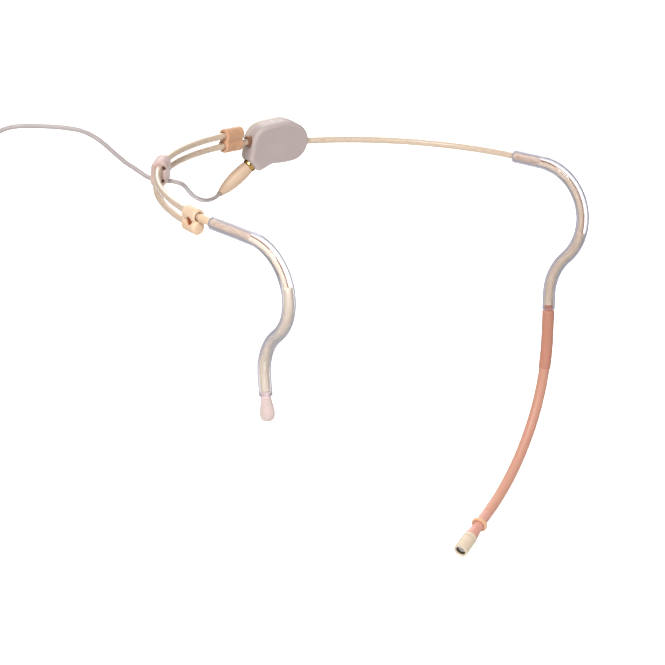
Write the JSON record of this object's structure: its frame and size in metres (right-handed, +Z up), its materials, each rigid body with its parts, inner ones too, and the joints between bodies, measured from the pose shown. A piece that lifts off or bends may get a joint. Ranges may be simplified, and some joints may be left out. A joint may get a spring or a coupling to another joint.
{
  "type": "headset microphone",
  "caption": "Head-worn microphone: sliding two-rod neckband, clear soft ear hooks, swivel boom with drip ring and capsule, plug-in lead held by a soft clip.",
  "frame": {"origin": "middle of the neckband's circle, which is the middle of the wearer's head between the ears", "axes": "+Z up as worn, -Y the way the wearer faces, +X the wearer's left, the boom's side"},
  "size_m": [0.152, 0.1444, 0.1284],
  "materials": {
    "rod": "satin",
    "free_slider": "satin",
    "mic_slider": "satin",
    "screw": "satin",
    "housing": "matte",
    "board": "gloss",
    "brass": "satin",
    "collar": "matte",
    "gold": "polished",
    "clear_sleeve": "gloss",
    "spring_wire": "satin",
    "core": "matte",
    "soft_clip": "matte",
    "lead": "matte",
    "black_plastic": "matte",
    "tip": "matte",
    "boom": "satin",
    "capsule": "satin",
    "element": "satin",
    "gasket": "matte",
    "ring": "satin",
    "plug": "satin"
  },
  "bodies": {
    "mic_side": {"lower_band_rod": "rod", "free_slider_block": "free_slider", "slider_screw": "screw", "housing_inner_shell": "housing", "housing_outer_shell": "housing", "circuit_board": "board", "rod_anchor": "brass", "rod_collar": "collar", "plug_socket": "housing", "socket_contact": "gold", "mic_side_rod": "rod", "mic_hook_sleeve": "clear_sleeve", "mic_hook_wire": "spring_wire", "mic_hook_core": "core", "cable_clip": "soft_clip", "cable_run": "lead", "cable_coil": "lead", "cable_tie": "black_plastic", "connector_relief": "black_plastic", "connector_shell": "black_plastic", "jack_sleeve": "gold", "jack_insulators": "black_plastic", "jack_tip": "gold"},
    "free_side": {"upper_band_rod": "rod", "mic_slider_block": "mic_slider", "free_ferrule": "rod", "free_hook_sleeve": "clear_sleeve", "free_hook_wire": "spring_wire", "free_hook_core": "core", "free_tip_cap": "tip"},
    "boom": {"boom_root_pin": "boom", "boom_sleeve": "boom", "boom_tube": "boom", "boom_core": "spring_wire", "boom_collar": "boom", "capsule_base": "capsule", "capsule_element": "element", "capsule_gasket": "gasket", "capsule_mesh": "element"},
    "windscreen_ring": {"drip_ring": "ring"},
    "cap": {"capsule_cap": "capsule"},
    "plug": {"plug_body": "plug", "plug_collar": "gold", "plug_nose": "black_plastic", "plug_pins": "gold", "plug_relief": "plug", "cable_lead": "lead"},
    "nut": {"connector_nut": "black_plastic"}
  },
  "joints": [
    {"name": "band_adjust", "type": "hinge", "parent": "mic_side", "child": "free_side", "pos_m": [0, 0, 0], "axis": [0, -0.0872, 0.9962], "range_deg": [0, 20]},
    {"name": "boom_swivel", "type": "hinge", "parent": "mic_side", "child": "boom", "pos_m": [0.06687, -0.00776, -0.04652], "axis": [0.0584, 0.008, 0.9983], "range_deg": [-30, 80]},
    {"name": "ring_slide", "type": "slide", "parent": "boom", "child": "windscreen_ring", "axis": [-0.9016, -0.1161, -0.4167], "range_m": [-0.004, 0]},
    {"name": "cap_pull", "type": "slide", "parent": "boom", "child": "cap", "axis": [-0.9016, -0.1161, -0.4167], "range_m": [0, 0.008]},
    {"name": "plug_pull", "type": "slide", "parent": "mic_side", "child": "plug", "axis": [-0.7152, 0.3295, -0.6164], "range_m": [0, 0.006], "deforming": ["cable_lead"]},
    {"name": "nut_turn", "type": "hinge", "parent": "mic_side", "child": "nut", "pos_m": [-0.06517, 0.10094, -0.0404], "axis": [0, 0, 1], "continuous": true}
  ]
}
